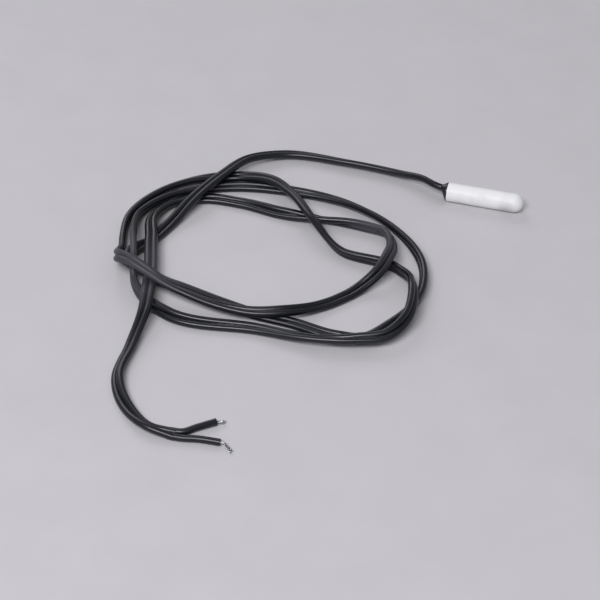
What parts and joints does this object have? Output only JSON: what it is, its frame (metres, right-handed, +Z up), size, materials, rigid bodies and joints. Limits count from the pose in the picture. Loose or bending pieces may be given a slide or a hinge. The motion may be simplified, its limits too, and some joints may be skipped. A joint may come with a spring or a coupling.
{
  "type": "temperature sensor",
  "caption": "Thermistor temperature sensor: a slim white round-ended cap potted onto a coiled flat black twin cable with bare wire ends.",
  "frame": {"origin": "on the surface the sensor lies on, under the middle of the cap and its resin", "axes": "+X along the cap from its mouth to its round tip, +Z up"},
  "size_m": [0.1225, 0.1383, 0.0106],
  "materials": {
    "cap_plastic": "white injection-moulded ABS, soft satin gloss",
    "epoxy": "black potting epoxy, glossy where it crept along the cable",
    "bead_coat": "dark epoxy coat over the thermistor bead",
    "lead_wire": "bright tinned lead wire",
    "solder": "tin solder, satin",
    "sleeve_plastic": "black heat-shrink sleeve, matt",
    "tinned_copper": "tinned copper strands, bright with dull grey ends",
    "cable_jacket": "black PVC twin insulation, semi-gloss"
  },
  "bodies": {
    "root": {"probe_cap": "cap_plastic", "potting_resin": "epoxy", "thermistor_bead": "bead_coat", "thermistor_lead_a": "lead_wire", "thermistor_lead_b": "lead_wire", "solder_joint_a": "solder", "solder_joint_b": "solder", "sleeve_a": "sleeve_plastic", "sleeve_b": "sleeve_plastic", "conductor_a": "tinned_copper", "conductor_b": "tinned_copper", "cable": "cable_jacket"}
  },
  "joints": []
}
